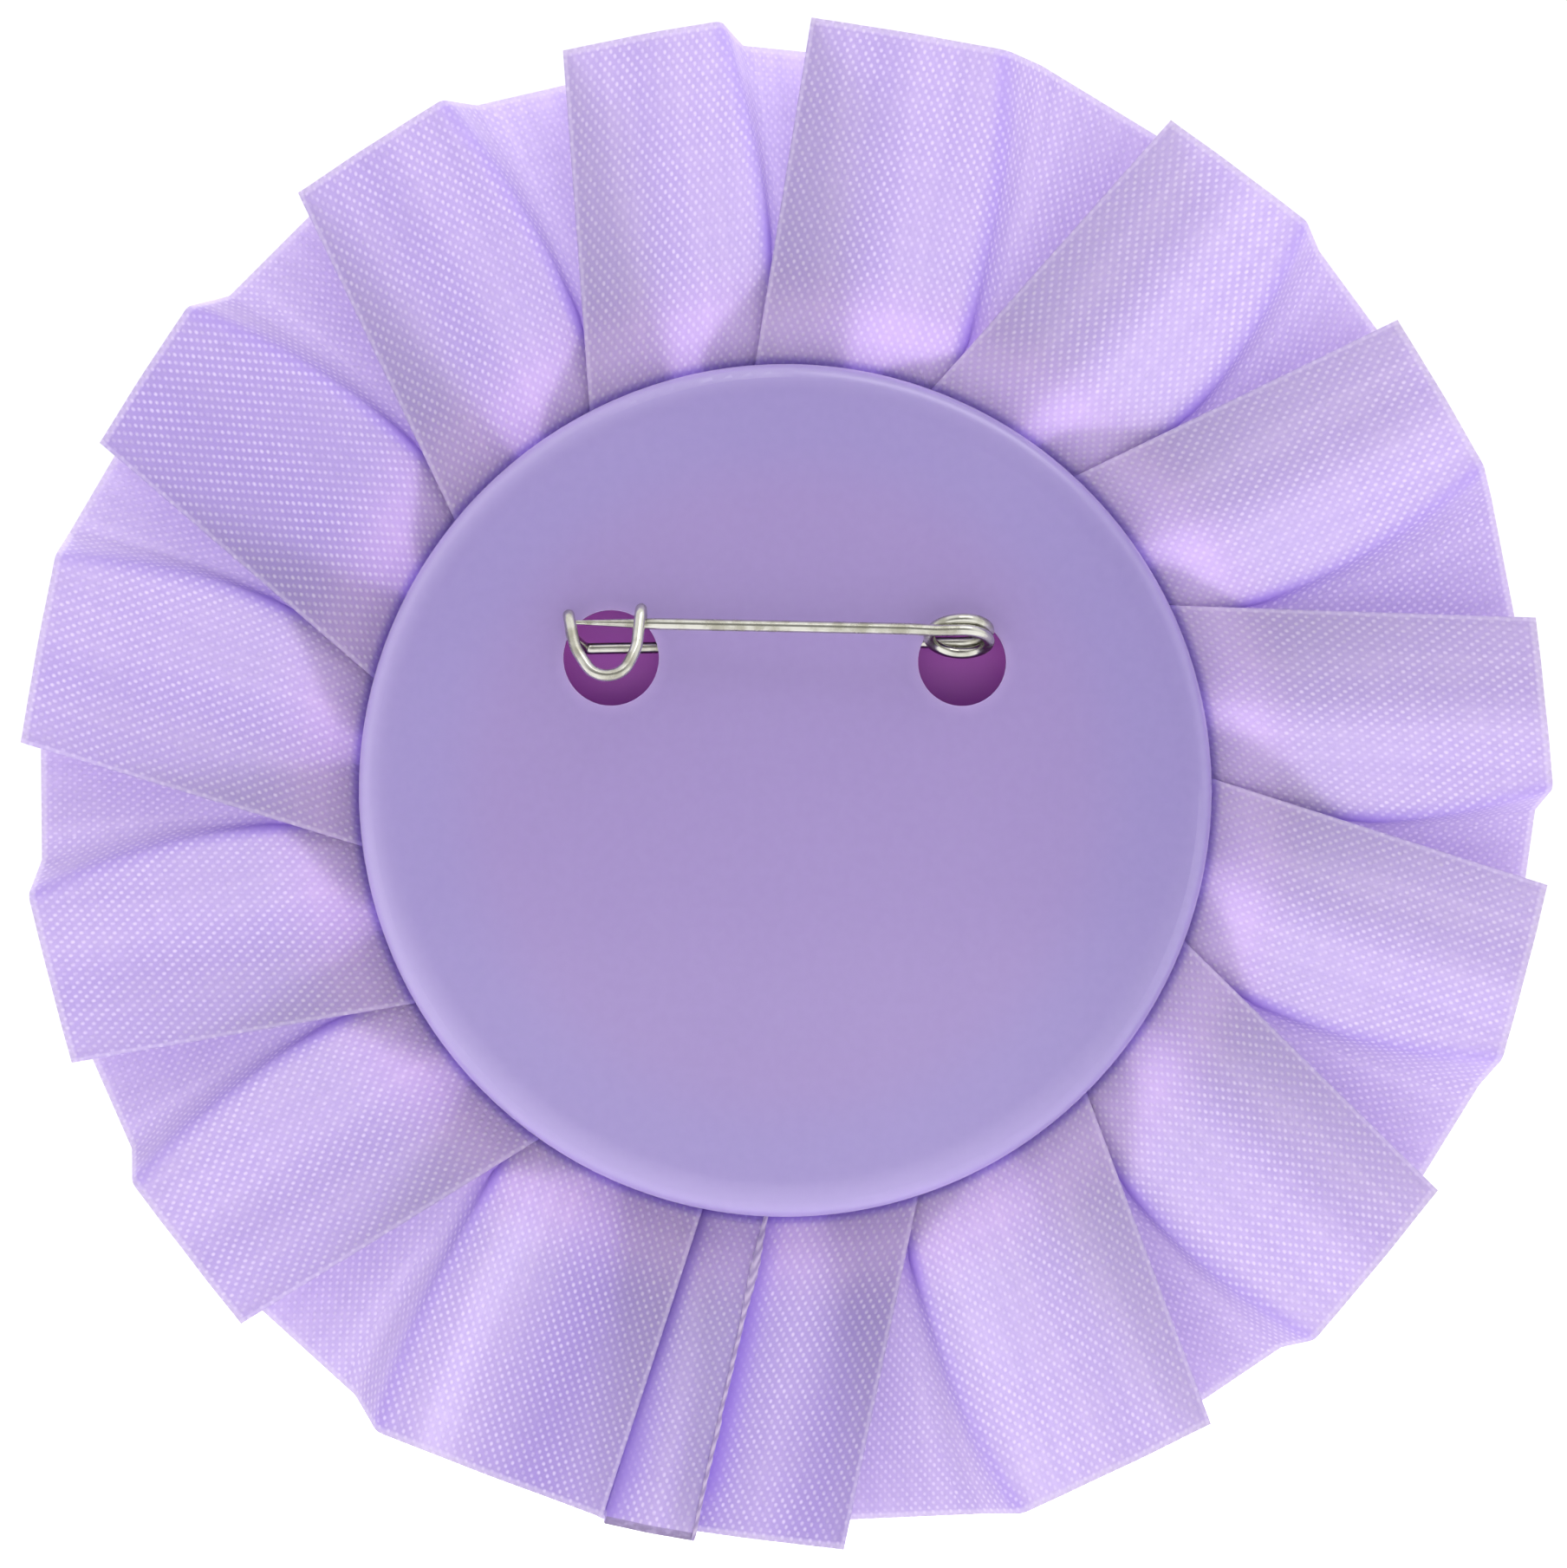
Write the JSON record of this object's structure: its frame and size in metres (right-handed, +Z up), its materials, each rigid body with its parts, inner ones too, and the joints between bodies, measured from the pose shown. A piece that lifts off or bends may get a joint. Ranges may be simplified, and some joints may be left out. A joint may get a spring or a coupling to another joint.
{
  "type": "award rosette badge",
  "caption": "Pleated satin award rosette with a round moulded back plate, a safety-pin fastener that opens, and a domed front button.",
  "frame": {"origin": "centre of the back plate's outer face", "axes": "+Z up as worn, +Y out of the pin side towards the garment, the display front faces -Y, +X to the wearer's right"},
  "size_m": [0.1025, 0.0152, 0.1025],
  "materials": {
    "lilac_plastic": "semi-gloss moulded lilac plastic, softly rounded rim",
    "pin_steel": "nickel-plated bent wire",
    "lilac_ribbon": "woven lilac polyester satin ribbon, matte weave outside",
    "thread": "lilac sewing thread",
    "hot_melt": "cloudy hot-melt adhesive",
    "plum_plastic": "moulded plum plastic",
    "insert_card": "plain card",
    "clear_resin": "clear polished resin"
  },
  "bodies": {
    "badge": {"back_plate": "lilac_plastic", "pin_wire": "pin_steel", "pleated_ribbon": "lilac_ribbon", "gathering_thread": "thread", "back_glue": "hot_melt", "front_glue": "hot_melt", "front_button": "plum_plastic", "button_insert": "insert_card", "button_dome": "clear_resin"},
    "needle": {"pin_needle": "pin_steel"}
  },
  "joints": [
    {"name": "pin_open", "type": "hinge", "parent": "badge", "child": "needle", "pos_m": [-0.00989, 0.00287, 0.01065], "axis": [0, 0.9272, 0.3746], "range_deg": [0, 60]}
  ]
}
